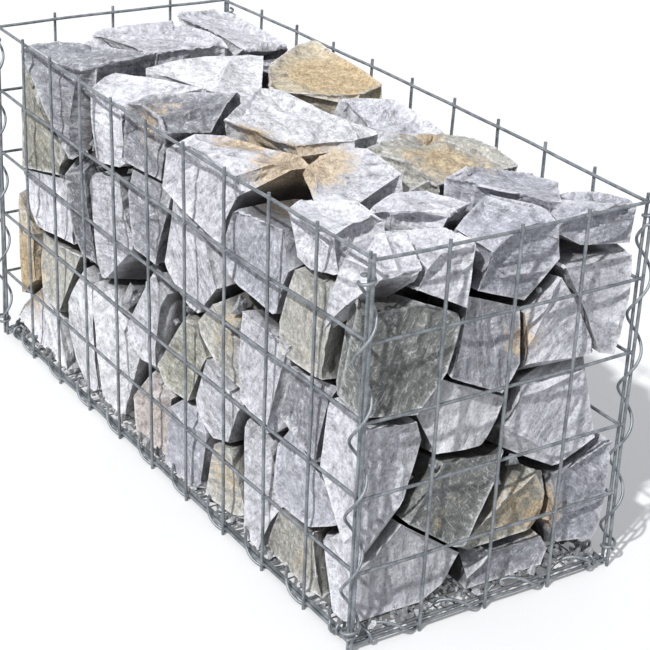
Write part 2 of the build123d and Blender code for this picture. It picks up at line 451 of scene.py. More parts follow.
def stoneBlock(corners):
    block = bmesh.new()
    for corner in corners:
        block.verts.new(corner)
    bmesh.ops.convex_hull(block, input=block.verts)
    loose = [vert for vert in block.verts if not vert.link_faces]
    bmesh.ops.delete(block, geom=loose, context="VERTS")
    bmesh.ops.dissolve_limit(block, angle_limit=math.radians(1), verts=block.verts, edges=block.edges)
    block.normal_update()
    return block


def cutBlock(block, outward, offset):
    everything = block.verts[:] + block.edges[:] + block.faces[:]
    cut = bmesh.ops.bisect_plane(
        block, geom=everything, plane_co=outward * offset, plane_no=outward, clear_outer=True
    )
    rim = [part for part in cut["geom_cut"] if isinstance(part, bmesh.types.BMEdge)]
    if rim:
        bmesh.ops.edgeloop_fill(block, edges=rim)
    bmesh.ops.recalc_face_normals(block, faces=block.faces)


def roundedMiddle(side):
    return tuple(round(part, 5) for part in side.calc_center_median())


# Seams of a stone with its neighbours: chipped corners and faces on the mesh are left out
def stoneSeams(hull):
    lowFacing, highFacing = stoneShape["footFacing"]
    seams = []
    for side in sorted(hull.faces, key=roundedMiddle):
        middle = side.calc_center_median()
        facing = [abs(part) > stoneShape["meshFacing"] for part in side.normal]
        toMesh = np.minimum(np.array(middle) - fillLow, fillHigh - np.array(middle))
        onMesh = any(facing[axis] and toMesh[axis] < stoneShape["meshNear"] for axis in (0, 1))
        nearFoot = middle.z < fillLow[2] + stoneShape["footNear"]
        onFoot = lowFacing < side.normal.z < highFacing and nearFoot
        if side.calc_area() > stoneShape["smallFace"] and not onMesh and not onFoot:
            spots = [middle] + [middle.lerp(vert.co, stoneShape["probeSpread"]) for vert in side.verts]
            offset = side.normal.dot(middle)
            seams.append({"normal": side.normal.copy(), "offset": offset, "spots": np.array(spots)})
    return seams


def stoneRecord(node, corners):
    hull = stoneBlock(corners)
    seams = stoneSeams(hull)
    hull.free()
    walls = np.array([[*seam["normal"], seam["offset"]] for seam in seams])
    return {"node": node, "corners": np.array(corners), "seams": seams, "walls": walls}


def heldBy(spots, stone):
    low, high = stone["corners"].min(0), stone["corners"].max(0)
    inBox = ((spots > low) & (spots < high)).all(1)
    return inBox & (spots @ stone["walls"][:, :3].T < stone["walls"][:, 3]).all(1)


# How far a seam may move out so that only a slit stays open in front of it
def seamPush(stone, seam, stones):
    steps = np.arange(stoneShape["probeStep"], stoneShape["probeReach"], stoneShape["probeStep"])
    ways = np.array(seam["normal"])[None, None, :] * steps[None, :, None]
    spots = (seam["spots"][:, None, :] + ways).reshape(-1, 3)
    outside = ((spots < fillLow) | (spots > fillHigh)).any(1)
    taken = outside.copy()
    for other in stones:
        if other is not stone:
            taken |= heldBy(spots, other)
    taken = taken.reshape(-1, len(steps))
    taken[:, -1] = True
    first = np.argmax(taken, axis=1)
    gap = np.median(steps[first])
    toMesh = outside.reshape(-1, len(steps))[np.arange(len(first)), first].mean() > 0.5
    push = gap - stoneShape["meshSlit"] if toMesh else (gap - stoneShape["slit"]) / 2
    return min(max(push, 0.0), stoneShape["mostPush"])


# Breaks broad facets off a face that shows
def facetBlock(block, outward, facets, dice):
    for _ in range(facets["count"]):
        tilt = anyWay(dice)
        tilt = (tilt - outward * tilt.dot(outward)).normalized()
        slope = (outward + tilt * dice.uniform(*facets["lean"])).normalized()
        cutBlock(block, slope, reachOf(block, slope) - dice.uniform(*facets["depth"]))


# The stone with its corners grown back, up against its neighbours and the mesh
def packedBlock(stone, stones, dice):
    top = stone["corners"][:, 2].max()
    low = np.maximum(stone["corners"].min(0) - stoneShape["margin"], fillLow)
    high = np.minimum(stone["corners"].max(0) + stoneShape["margin"], fillHigh)
    high[2] = min(high[2], top)
    block = bmesh.new()
    bmesh.ops.create_cube(block, size=1.0)
    for vert in block.verts:
        vert.co = (low + high) / 2 + np.array(vert.co) * (high - low)
    for seam in stone["seams"]:
        push = 0.0
        if seam["normal"].z < stoneShape["upFacing"] or top < fillHigh[2] - stoneShape["topZone"]:
            push = seamPush(stone, seam, stones)
        cutBlock(block, seam["normal"], seam["offset"] + push - dice.uniform(0, stoneShape["seamGap"]))
    for axis, sinkName in enumerate(("endSink", "sideSink")):
        for way in (-1, 1):
            lean = [dice.gauss(0, stoneShape["faceLean"]) for _ in range(3)]
            lean[axis] = way
            outward = Vector(lean).normalized()
            reach = max(vert.co[axis] * way for vert in block.verts)
            limit = fillHigh[axis] if way > 0 else -fillLow[axis]
            sink = dice.uniform(0, stoneShape[sinkName])
            if reach > limit - stoneShape["meshTouch"]:
                cutBlock(block, outward, reachOf(block, outward) - sink)
                facetBlock(block, outward, stoneShape["faceFacets"], dice)
    if top > fillHigh[2] - stoneShape["topLayer"]:
        lean = [dice.gauss(0, stoneShape["topLean"]) for _ in range(2)]
        outward = Vector((*lean, 1)).normalized()
        cutBlock(block, outward, reachOf(block, outward) - dice.uniform(0, stoneShape["topSink"]))
        facetBlock(block, outward, stoneShape["topFacets"], dice)
    return block


def edgeMiddle(joint):
    middle = (joint.verts[0].co + joint.verts[1].co) / 2
    return tuple(round(part, 5) for part in middle)


# Breaks small flakes off the edges
def chipBlock(block, dice):
    for _ in range(stoneShape["chips"]):
        joints = sorted((joint for joint in block.edges if len(joint.link_faces) == 2), key=edgeMiddle)
        joint = dice.choices(joints, weights=[one.calc_length() for one in joints])[0]
        outward = joint.link_faces[0].normal + joint.link_faces[1].normal
        outward = (outward.normalized() + anyWay(dice) * stoneShape["chipTilt"]).normalized()
        depth = stoneShape["chipLeast"] + stoneShape["chipMost"] * dice.random() ** stoneShape["chipFew"]
        cutBlock(block, outward, reachOf(block, outward) - depth)


# Edge length wanted at a place: fine near the outside of the fill, coarse within
def wantedEdge(points):
    inside = np.minimum(points - fillLow, fillHigh - points)
    fromFoot = (points - fillLow)[:, 2] + stoneShape["footFine"]
    fromTop = (fillHigh - points)[:, 2] - stoneShape["topFine"]
    inside[:, 2] = np.minimum(fromFoot, fromTop)
    depth = inside.min(1)
    reach = stoneShape["coarseDepth"] - stoneShape["fineDepth"]
    share = np.clip((depth - stoneShape["fineDepth"]) / reach, 0, 1)
    return stoneShape["fineEdge"] + share * (stoneShape["coarseEdge"] - stoneShape["fineEdge"])


# Share of painted shade on a point: none on the outside of the fill, full well within, where the hollows
# between the stones lie in shadow
def deepShare(points):
    inside = np.minimum(points - fillLow, fillHigh - points)
    inside[:, 2] = (fillHigh - points)[:, 2] - stoneShape["paintedShadeTop"]
    return np.clip((inside.min(1) - stoneShape["paintedShadeStart"]) / stoneShape["paintedShadeReach"], 0, 1)


def edgeTable(points, faces):
    pairs = np.sort(faces[:, [0, 1, 1, 2, 2, 0]].reshape(-1, 2), axis=1)
    keys = pairs[:, 0].astype(np.int64) * len(points) + pairs[:, 1]
    unique, which = np.unique(keys, return_inverse=True)
    return np.stack([unique // len(points), unique % len(points)], axis=1), which.reshape(-1, 3)


def turned(rows, turns):
    columns = (np.arange(3) + turns[:, None]) % 3
    return np.take_along_axis(rows, columns, axis=1)


# Splits each face along its marked edges
def splitFaces(faces, middles):
    count = (middles >= 0).sum(1)
    parts = [faces[count == 0]]
    one = count == 1
    turns = np.argmax(middles[one] >= 0, axis=1)
    a, b, c = turned(faces[one], turns).T
    m = turned(middles[one], turns)[:, 0]
    parts += [np.stack([a, m, c], 1), np.stack([m, b, c], 1)]
    two = count == 2
    turns = np.argmax(middles[two] < 0, axis=1) + 1
    a, b, c = turned(faces[two], turns).T
    m, n, _ = turned(middles[two], turns).T
    parts += [np.stack([m, b, n], 1), np.stack([a, m, n], 1), np.stack([a, n, c], 1)]
    three = count == 3
    a, b, c = faces[three].T
    m, n, o = middles[three].T
    parts += [np.stack([a, m, o], 1), np.stack([m, b, n], 1)]
    parts += [np.stack([o, n, c], 1), np.stack([m, n, o], 1)]
    return np.concatenate(parts)


# Long edges first, then shorter ones, down to the wanted length
def divided(points, faces):
    for ease in splitEases:
        edges, which = edgeTable(points, faces)
        ends = points[edges]
        middle = ends.mean(1)
        size = np.linalg.norm(ends[:, 0] - ends[:, 1], axis=1)
        long = size > wantedEdge(middle) * ease
        slots = np.full(len(edges), -1)
        slots[long] = len(points) + np.arange(long.sum())
        points = np.vstack([points, middle[long]])
        faces = splitFaces(faces, slots[which])
    return points, faces


# How near each point lies to a broken edge of its block, 1 on the edge itself
def edgeNearness(points, walls):
    normals = walls[:, :3]
    depth = np.maximum(walls[:, 3] - points @ normals.T, 0)
    own = np.argmin(depth, axis=1)
    turn = np.sqrt(np.clip(1 - (normals[own] @ normals.T) ** 2, 0, 1))
    crosses = turn > stoneShape["edgeTurn"]
    reach = np.where(crosses, depth / np.where(crosses, turn, 1), np.inf)
    return np.clip(1 - reach.min(1) / stoneShape["edgeBand"], 0, 1)


# Finish by the place on a face: millimetres along, up or across, as seen from outside that face
frontFinishes = [
    (165, 455, "grey"), (115, 365, "olive"), (150, 250, "pale"), (250, 280, "dark"), (45, 110, "ochre"),
    (150, 150, "beige"), (100, 50, "white"), (245, 105, "white"), (335, 450, "pale"), (345, 300, "pale"),
    (350, 100, "white"), (445, 455, "grey"), (450, 350, "grey"), (455, 220, "pale"), (475, 55, "pink"),
    (595, 450, "pale"), (570, 330, "pale"), (560, 190, "olive"), (665, 250, "beige"), (750, 400, "slate"),
    (875, 370, "beige"), (865, 480, "pale"), (760, 235, "pale"), (870, 225, "grey"), (650, 150, "pale"),
    (575, 50, "slate"), (665, 55, "beige"), (750, 100, "pale"), (850, 150, "slate"), (950, 360, "green"),
    (950, 215, "pale"), (940, 50, "pale"), (865, 40, "beige"), (950, 495, "pale"),
]
endFinishes = [
    (100, 465, "pale"), (215, 455, "slate"), (345, 490, "slate"), (355, 385, "pale"), (195, 345, "grey"),
    (285, 350, "pale"), (150, 255, "white"), (305, 220, "pale"), (150, 150, "green"), (260, 100, "olive"),
    (255, 40, "grey"), (355, 85, "slate"),
]
topFinishes = [
    (130, 350, "pale"), (150, 235, "pale"), (135, 70, "pale"), (325, 190, "white"), (395, 350, "ochre"),
    (570, 185, "white"), (745, 290, "beige"), (570, 320, "pale"), (860, 300, "slate"), (880, 145, "pale"),
    (785, 90, "pale"),
]
ironPlaces = [
    (("front", 40, 115), 0.09, 0.75), (("front", 445, 480), 0.05, 0.6), (("front", 665, 60), 0.06, 0.5),
    (("front", 665, 265), 0.05, 0.6), (("front", 115, 360), 0.07, 0.35), (("front", 150, 160), 0.06, 0.4),
    (("front", 865, 330), 0.06, 0.35), (("front", 865, 40), 0.04, 0.7), (("front", 480, 60), 0.04, 0.5),
    (("end", 128, 130), 0.03, 0.9), (("end", 300, 90), 0.04, 0.9), (("end", 240, 350), 0.04, 0.75),
    (("end", 255, 110), 0.07, 0.5), (("end", 160, 160), 0.05, 0.35),
    (("top", 395, 350), 0.085, 0.95), (("top", 745, 290), 0.075, 0.75), (("top", 570, 95), 0.05, 0.8),
    (("top", 690, 110), 0.075, 0.9), (("top", 640, 330), 0.05, 0.6),
]
finishRules = {"underFace": 0.03, "reach": 0.11, "spread": 0.08, "shift": 0.012, "stainCore": 1.4}
basketHalf = {"length": 0.5, "width": 0.2}
meshFoot = 0.009
perMetre = 1000


def facePoint(face, first, second):
    first, second = first / perMetre, second / perMetre
    along = first - basketHalf["length"]
    if face == "front":
        return np.array([along, fillLow[1] + finishRules["underFace"], second + meshFoot])
    if face == "end":
        across = first - basketHalf["width"]
        return np.array([fillHigh[0] - finishRules["underFace"], across, second + meshFoot])
    return np.array([along, second - basketHalf["width"], fillHigh[2] - finishRules["underFace"]])


finishPlaces = []
for faceName, rows in (("front", frontFinishes), ("end", endFinishes), ("top", topFinishes)):
    finishPlaces += [(facePoint(faceName, first, second), finish) for first, second, finish in rows]
unseenFinishes = ["slate", "pale", "pale", "grey", "beige", "slate", "white", "olive"]


def stoneFinish(middle, dice):
    spare = dice.choice(unseenFinishes)
    reach, finish = min((np.linalg.norm(spot - middle), finish) for spot, finish in finishPlaces)
    tint = np.array(stoneTints[finish if reach < finishRules["reach"] else spare])
    spread, shift = finishRules["spread"], finishRules["shift"]
    return tint * (1.0 + dice.uniform(-spread, spread)) + dice.uniform(-shift, shift)


def ironStain(points):
    stain = np.zeros(len(points))
    for (faceName, first, second), radius, strength in ironPlaces:
        reach = np.linalg.norm(points - facePoint(faceName, first, second), axis=1)
        stain = np.maximum(stain, strength * np.clip(finishRules["stainCore"] - reach / radius, 0, 1))
    return stain


def bedDirection(middle, dice):
    lean = anyWay(dice, stoneShape["bedLean"])
    if middle[2] > fillHigh[2] - stoneShape["bedTop"]:
        return (Vector((0, 0, 1)) + lean).normalized()
    reaches = (1, 1, stoneShape["bedRise"])
    return (Vector([dice.uniform(-reach, reach) for reach in reaches]) + lean).normalized()


fillStones = [stoneRecord(node, corners) for node in stoneNodes for corners in stoneCorners(node)]
stoneWalls = []  # planes of each finished block, to find the hollows between them


def stoneDice(middle):
    return random.Random(stoneShape["seed"] + int(abs(middle * perMetre).round() @ stoneShape["seedSteps"]))


def blockWalls(block):
    return np.array([[*side.normal, side.normal.dot(side.verts[0].co)] for side in block.faces])


# Points and triangles of a block, finely divided
def blockTriangles(block):
    bmesh.ops.dissolve_degenerate(block, dist=stoneShape["shortEdge"], edges=block.edges)
    bmesh.ops.triangulate(block, faces=block.faces)
    block.verts.index_update()
    spots = np.array([vert.co for vert in block.verts])
    sides = np.array([[vert.index for vert in side.verts] for side in block.faces])
    return divided(spots, sides)


# The top of the fill is rougher than the rest
def roughness(spots):
    above = spots[:, 2] - fillHigh[2] + stoneShape["roughBelow"]
    return 1.0 + stoneShape["topRough"] * np.clip(above / stoneShape["roughFade"], 0, 1)


def heapMesh(node):
    layers = {"tint": [], "shift": [], "bed": [], "iron": [], "edge": [], "rough": [], "deep": []}
    points, faces, count = [], [], 0
    for stone in [one for one in fillStones if one["node"] == node]:
        middle = stone["corners"].mean(0)
        dice = stoneDice(middle)
        block = packedBlock(stone, fillStones, dice)
        chipBlock(block, dice)
        stoneWalls.append(blockWalls(block))
        spots, sides = blockTriangles(block)
        block.free()
        size = len(spots)
        tint = stoneFinish(middle, dice)
        shift = [dice.uniform(-stoneShape["patternShift"], stoneShape["patternShift"]) for _ in range(3)]
        layers["tint"].append(np.tile([*tint, 1.0], (size, 1)))
        layers["shift"].append(np.tile(shift, (size, 1)))
        layers["bed"].append(np.tile(bedDirection(middle, dice), (size, 1)))
        layers["iron"].append(ironStain(spots))
        layers["edge"].append(edgeNearness(spots, stoneWalls[-1]))
        # share of painted shade, deep inside the fill
        layers["deep"].append(deepShare(spots))
        layers["rough"].append(roughness(spots))
        points.append(spots)
        faces.append(sides + count)
        count += size
    mesh = bpy.data.meshes.new(node + "_blocks")
    mesh.from_pydata(np.concatenate(points), [], np.concatenate(faces))
    kinds = {"tint": "FLOAT_COLOR", "shift": "FLOAT_VECTOR", "bed": "FLOAT_VECTOR"}
    fields = {"tint": "color", "shift": "vector", "bed": "vector"}
    for name, values in layers.items():
        layer = mesh.attributes.new(name, kinds.get(name, "FLOAT"), "POINT")
        numbers = np.concatenate(values).ravel().astype(np.float32)
        layer.data.foreach_set(fields.get(name, "value"), numbers)
    return mesh


# Broken surface of a stone: a slow swell, ledges along its bedding, and grain
def reliefTree():
    wanted = {name: "Float" for name in stoneRelief}
    tree, given = startTree("brokenFace", {**wanted, "Material": "Material"})
    place = sourceNode(tree, "GeometryNodeInputPosition")
    normal = sourceNode(tree, "GeometryNodeInputNormal")
    bed = storedLayer(tree, "bed", "FLOAT_VECTOR")
    own = vectorSum(place, storedLayer(tree, "shift", "FLOAT_VECTOR"))
    layered = vectorSum(own, vectorTimes(bed, vectorDot(own, bed) * given["Bedding"]))
    swell = noise(own, 1.0 / given["Swell Size"], detail=2.0)
    grain = noise(layered, 1.0 / given["Grain Size"], detail=1.0, roughness=0.5)
    cells = {"Vector": layered, "Scale": 1.0 / given["Ledge Size"], "Smoothness": given["Softness"]}
    flake = layered.node("ShaderNodeTexVoronoi", {"feature": "SMOOTH_F1"}, cells, "Color")
    step = flake.node("ShaderNodeSeparateXYZ", None, {"Vector": flake})
    edge = storedLayer(tree, "edge")
    rough = storedLayer(tree, "rough")
    ledges = (step * given["Ledge Height"] + grain * given["Grain Height"]) * (1.0 - edge)
    offset = vectorTimes(normal, 0.0 - (swell * given["Swell Height"] + ledges) * rough)
    moved = place.node("GeometryNodeSetPosition", None, {"Geometry": given["Geometry"], "Offset": offset})
    endTree(tree, moved, given["Material"])
    return tree


brokenFace = reliefTree()
triangles = 0
for node in stoneNodes:
    stonePile = grown(heapMesh(node), brokenFace, {**stoneRelief, "Material": quarryStone})
    stonePile.shade_smooth()
    stonePile.set_sharp_from_angle(angle=math.radians(stoneShape["sharpAngle"]))
    addPiece(node + "_rough", stonePile, [node])
    triangles += len(stonePile.polygons)
print("stones:", len(stoneNodes), "heaps,", triangles, "triangles")


# Small broken stones that lie in the hollows of the fill
rubble = {
    "tries": 40000,
    "most": 420,
    "least": 0.0045,
    "largest": 0.024,
    "fill": 1.25,
    "meshFill": 1.05,
    "apart": 0.75,
    "carried": 0.003,
    "behindMesh": 0.012,
    "aboveFloor": 0.008,
    "belowTop": 0.095,
    "cornerReach": 0.07,
    "kinds": 6,
    "corners": 10,
    "flatness": (1.0, 0.85, 0.72),
    "patternShift": 5,
    "coolness": (1.0, 1.02, 1.06),
    "low": (0.16, 0.16, 0.16),
    "high": (0.48, 0.48, 0.48),
    "seed": 7,
}
footChips = {
    "tries": 2600,
    "size": (0.0035, 0.0105),
    "inward": (0.004, 0.045),
    "behindMesh": 0.006,
    "sunk": 0.2,
    "apart": 0.7,
}


# How far each spot lies from the nearest stone, negative inside one
def roomAt(spots):
    room = np.full(len(spots), 1.0)
    for walls in stoneWalls:
        room = np.minimum(room, (spots @ walls[:, :3].T - walls[:, 3]).max(1))
    return room


def standsApart(spot, size, kept, share):
    return all(np.linalg.norm(spot - other) > (size + otherSize) * share for other, otherSize in kept)


# Chips that have come to rest on the floor mesh, along the four sides
def footPlaces():
    draw = np.random.default_rng(rubble["seed"] + 1)
    tries = footChips["tries"]
    spots = draw.uniform(fillLow + footChips["behindMesh"], fillHigh - footChips["behindMesh"], (tries, 3))
    sizes = draw.uniform(*footChips["size"], tries)
    side = draw.integers(0, 4, tries)
    inward = draw.uniform(*footChips["inward"], tries)
    sides = ((1, fillLow, 1), (0, fillHigh, -1), (1, fillHigh, -1), (0, fillLow, 1))
    for index, (axis, edge, way) in enumerate(sides):
        spots[side == index, axis] = edge[axis] + way * inward[side == index]
    spots[:, 2] = fillLow[2] + sizes / 2
    kept = []
    for index in np.flatnonzero(roomAt(spots) > -footChips["sunk"] * sizes):
        if standsApart(spots[index], sizes[index], kept, footChips["apart"]):
            kept.append((spots[index], sizes[index]))
    return kept


# Larger pieces that rest on a stone in the hollows, the roomiest hollows first
def hollowPlaces():
    draw = np.random.default_rng(rubble["seed"])
    lowest = fillLow + (rubble["behindMesh"], rubble["behindMesh"], rubble["aboveFloor"])
    highest = fillHigh - (rubble["behindMesh"], rubble["behindMesh"], rubble["belowTop"])
    spots = draw.uniform(lowest, highest, (rubble["tries"], 3))
    room = roomAt(spots)
    kept = []
    for index in np.argsort(-room, kind="stable"):
        spot = spots[index]
        toMesh = np.minimum(spot - fillLow, fillHigh - spot)
        wanted = room[index] * rubble["fill"]
        size = min(wanted, rubble["largest"], toMesh.min() * rubble["meshFill"])
        if wanted < rubble["least"] or len(kept) == rubble["most"]:
            break
        carried = roomAt((spot - (0, 0, size))[None])[0] < rubble["carried"]
        inCorner = max(toMesh[0], toMesh[1]) < rubble["cornerReach"]
        if carried and not inCorner and standsApart(spot, size, kept, rubble["apart"]):
            kept.append((spot, size))
    return kept


def rubbleStone(dice):
    lump = bmesh.new()
    for _ in range(rubble["corners"]):
        lump.verts.new(anyWay(dice).normalized() * Vector(rubble["flatness"]))
    bmesh.ops.convex_hull(lump, input=lump.verts)
    bmesh.ops.triangulate(lump, faces=lump.faces)
    mesh = bpy.data.meshes.new("rubble_stone")
    lump.to_mesh(mesh)
    lump.free()
    return mesh


fullTurn = 6.28


def rubbleTree(stones):
    wanted = {"Seed": "Int", "Low": "Vector", "High": "Vector", "Material": "Material"}
    tree, given = startTree("hollowRubble", wanted)
    anchor = given["Geometry"]
    singles = []
    for stone in stones:
        source = {"Object": stone, "As Instance": True}
        singles.append(anchor.node("GeometryNodeObjectInfo", None, source, "Geometry"))
    kinds = joined(tree, singles)

    def chance(low, high, salt):
        spread = {0: low, 1: high, "Seed": given["Seed"] + salt}
        return anchor.node("FunctionNodeRandomValue", {"data_type": "FLOAT_VECTOR"}, spread)

    def stored(geometry, kind, name, value):
        settings = {"data_type": kind, "domain": "INSTANCE"}
        inputs = {"Geometry": geometry, "Name": name, "Value": value}
        return geometry.node("GeometryNodeStoreNamedAttribute", settings, inputs)

    size = storedLayer(tree, "size")
    turn = chance((0, 0, 0), (fullTurn, fullTurn, fullTurn), 1)
    scattered = {"Points": anchor, "Instance": kinds, "Pick Instance": True, "Rotation": turn, "Scale": size}
    copies = anchor.node("GeometryNodeInstanceOnPoints", None, scattered)
    tint = chance(given["Low"], given["High"], 2)
    grey = tint.node("ShaderNodeSeparateXYZ", None, {"Vector": tint})
    cool = {axis: grey * share for axis, share in enumerate(rubble["coolness"])}
    painted = stored(copies, "FLOAT_COLOR", "tint", tint.node("ShaderNodeCombineXYZ", None, cool))
    far = rubble["patternShift"]
    shift = chance((-far, -far, -far), (far, far, far), 3)
    placed = stored(painted, "FLOAT_VECTOR", "shift", shift)
    endTree(tree, placed, given["Material"])
    return tree


def addRubble():
    dice = random.Random(rubble["seed"])
    lumps = [bpy.data.objects.new("rubble_lump", rubbleStone(dice)) for _ in range(rubble["kinds"])]
    places = hollowPlaces() + footPlaces()
    dots = bpy.data.meshes.new("rubble_dots")
    dots.from_pydata([spot for spot, size in places], [], [])
    layer = dots.attributes.new("size", "FLOAT", "POINT")
    layer.data.foreach_set("value", np.array([size for spot, size in places], dtype=np.float32))
    values = {"Seed": rubble["seed"], "Low": rubble["low"], "High": rubble["high"], "Material": quarryStone}
    mesh = grown(dots, rubbleTree(lumps), values)
    for lump in lumps:
        bpy.data.objects.remove(lump)
    addPiece("rubble", mesh, [])
    print("rubble:", len(places), "small stones,", len(mesh.polygons), "triangles")


addRubble()


# Welded panels of round wire
panelWire = {
    "Radius": 0.00225,
    "Sides": 8,
    "Setback": 0.0037,
    "Weld": 0.0031,
    "Bow": 0.0,
    "Wobble": 0.0016,
}
wireSteps = 49
swayScale = 7.0
weldBead = {"Segments": 8, "Rings": 6}
weldFlat = (1.0, 0.85, 1.0)
rimStub = 0.009
meshOpening = 0.1
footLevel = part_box("base_panel")[0].z + panelWire["Radius"]


def panelTree():
    lengths = ["Across", "Rise", "Foot", "Below", "Above", "Radius", "Setback", "Weld", "Bow", "Wobble"]
    wanted = {name: "Float" for name in lengths}
    wanted.update({"Columns": "Int", "Rows": "Int", "Sides": "Int", "Material": "Material"})
    tree, given = startTree("weldedPanel", wanted)
    anchor = given["Across"]

    def vector(x, y, z):
        return anchor.node("ShaderNodeCombineXYZ", None, {"X": x, "Y": y, "Z": z})

    def rowOf(start, end, count, first, step):
        line = anchor.node("GeometryNodeCurvePrimitiveLine", None, {"Start": start, "End": end})
        fine = line.node("GeometryNodeResampleCurve", {"mode": "COUNT"}, {"Curve": line, "Count": wireSteps})
        places = {"Count": count, "Start Location": first, "Offset": step}
        dots = anchor.node("GeometryNodeMeshLine", {"mode": "OFFSET"}, places)
        copies = dots.node("GeometryNodeInstanceOnPoints", None, {"Points": dots, "Instance": fine})
        return copies.node("GeometryNodeRealizeInstances", None, {"Geometry": copies})

    columnStep = given["Across"] / given["Columns"]
    rowStep = given["Rise"] / given["Rows"]
    half = given["Across"] * 0.5
    low = given["Foot"] - given["Below"]
    high = given["Foot"] + given["Rise"] + given["Above"]
    reach = half + given["Radius"]
    uprights = rowOf(vector(0, 0, low), vector(0, 0, high), given["Columns"] + 1,
                     vector(0.0 - half, 0, 0), vector(columnStep, 0, 0))
    rails = rowOf(vector(0.0 - reach, given["Setback"], 0), vector(reach, given["Setback"], 0),
                  given["Rows"] + 1, vector(0, 0, given["Foot"]), vector(0, 0, rowStep))
    wires = joined(tree, (rails, uprights))

    # Wires and welds bend together: outwards towards the rim, and a little any way
    def bent(geometry):
        place = sourceNode(tree, "GeometryNodeInputPosition")
        split = place.node("ShaderNodeSeparateXYZ", None, {"Vector": place})
        along = split
        up = Sock(tree, split.out.node.outputs["Z"])
        flat = place.node("ShaderNodeCombineXYZ", None, {"X": along, "Z": up})
        arch = along.node("ShaderNodeMath", {"operation": "COSINE"}, {0: along * math.pi / given["Across"]})
        lift = (up - given["Foot"]) / given["Rise"]
        sway = flat.node("ShaderNodeTexNoise", {"noise_dimensions": "3D"},
                         {"Vector": flat, "Scale": swayScale, "Detail": 1.0}, "Color")
        centred = sway.node("ShaderNodeVectorMath", {"operation": "SUBTRACT"}, {0: sway, 1: (0.5, 0.5, 0.5)})
        wobble = vectorTimes(centred, given["Wobble"] * 2.0)
        bow = vector(0, 0.0 - given["Bow"] * arch * lift, 0)
        shifted = {"Geometry": geometry, "Offset": vectorSum(wobble, bow)}
        return geometry.node("GeometryNodeSetPosition", None, shifted)

    bars = roundWire(bent(wires), given["Radius"], given["Sides"])
    grid = anchor.node("GeometryNodeMeshGrid", None,
                       {"Size X": given["Across"], "Size Y": given["Rise"],
                        "Vertices X": given["Columns"] + 1, "Vertices Y": given["Rows"] + 1})
    centre = vector(0, given["Setback"] * 0.5, given["Foot"] + given["Rise"] * 0.5)
    upright = grid.node("GeometryNodeTransform", None,
                        {"Geometry": grid, "Rotation": (math.pi / 2, 0, 0), "Translation": centre})
    bead = anchor.node("GeometryNodeMeshUVSphere", None, {**weldBead, "Radius": given["Weld"]})
    beads = upright.node("GeometryNodeInstanceOnPoints", None,
                         {"Points": upright, "Instance": bead, "Scale": weldFlat})
    welds = bent(beads.node("GeometryNodeRealizeInstances", None, {"Geometry": beads}))
    whole = joined(tree, (welds, bars))
    smooth = whole.node("GeometryNodeSetShadeSmooth", None, {"Geometry": whole})
    endTree(tree, smooth, given["Material"])
    return tree


weldedPanel = panelTree()


def panelMesh(values, place):
    empty = bpy.data.meshes.new("panel_seed")
    mesh = grown(empty, weldedPanel, {**panelWire, **values, "Material": zincWire})
    mesh.transform(place)
    return mesh


# Each side panel: which way is out, and how far its rim bows
sidePanels = {
    "front_panel": {"turn": 0, "bow": 0.011},
    "right_panel": {"turn": 90, "bow": 0.003},
    "back_panel": {"turn": 180, "bow": 0.010},
    "left_panel": {"turn": 270, "bow": 0.004},
}
for node, setting in sidePanels.items():
    low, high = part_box(node)
    wide = max(high.x - low.x, high.y - low.y) - 2 * panelWire["Radius"]
    rise = high.z - rimStub - footLevel
    turn = Matrix.Rotation(math.radians(setting["turn"]), 4, "Z")
    axis = 0 if setting["turn"] in (90, 270) else 1
    outer = max(abs(low[axis]), abs(high[axis]))
    place = turn @ Matrix.Translation((0, panelWire["Radius"] - outer, 0))
    values = {
        "Across": wide,
        "Rise": rise,
        "Foot": footLevel,
        "Below": footLevel,
        "Above": rimStub,
        "Columns": round(wide / meshOpening),
        "Rows": round(rise / meshOpening),
        "Bow": setting["bow"],
    }
    addPiece(node + "_wires", panelMesh(values, place), [node])

# The floor mesh lies on its face, lengthwise wires below
floorLow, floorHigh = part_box("base_panel")
flat = Matrix(((0, 0, 1, 0), (1, 0, 0, 0), (0, 1, 0, 0), (0, 0, 0, 1)))
floorWide = floorHigh.y - floorLow.y - 2 * panelWire["Radius"]
floorLong = floorHigh.x - floorLow.x - 2 * panelWire["Radius"]
floorPlace = Matrix.Translation((-floorLong / 2, 0, footLevel)) @ flat
floorValues = {
    "Across": floorWide,
    "Rise": floorLong,
    "Below": panelWire["Radius"],
    "Above": panelWire["Radius"],
    "Columns": round(floorWide / meshOpening),
    "Rows": round(floorLong / meshOpening),
    "Wobble": panelWire["Wobble"] / 2,
}
addPiece("base_panel_wires", panelMesh(floorValues, floorPlace), ["base_panel"])

# Finer mesh on the floor that keeps small stones in
fineFloor = {"Radius": 0.0010, "Sides": 6, "Setback": 0.0014, "Weld": 0.0013}
finePerOpening = 4
fineLevel = footLevel + panelWire["Radius"] + fineFloor["Radius"]
finePlace = Matrix.Translation((-floorLong / 2, 0, fineLevel)) @ flat
fineValues = {
    **floorValues,
    **fineFloor,
    "Columns": round(floorWide / meshOpening * finePerOpening),
    "Rows": round(floorLong / meshOpening * finePerOpening),
}
addPiece("fine_floor_mesh", panelMesh(fineValues, finePlace), [])
print("panels ready")


# Wire spirals that bind the edges
spiralWire = {
    "radius": 0.0115,
    "thickness": 0.0020,
    "sides": 8,
    "stepsPerTurn": 28,
    "hookTurns": 1.25,
    "hookRadius": 0.0075,
    "hookRise": 0.10,
    "lyingMargin": 0.034,
    "lyingInner": 0.025,
    "standingMargin": 0.026,
    "standingInner": 0.05,
}
basketHeight = 0.5


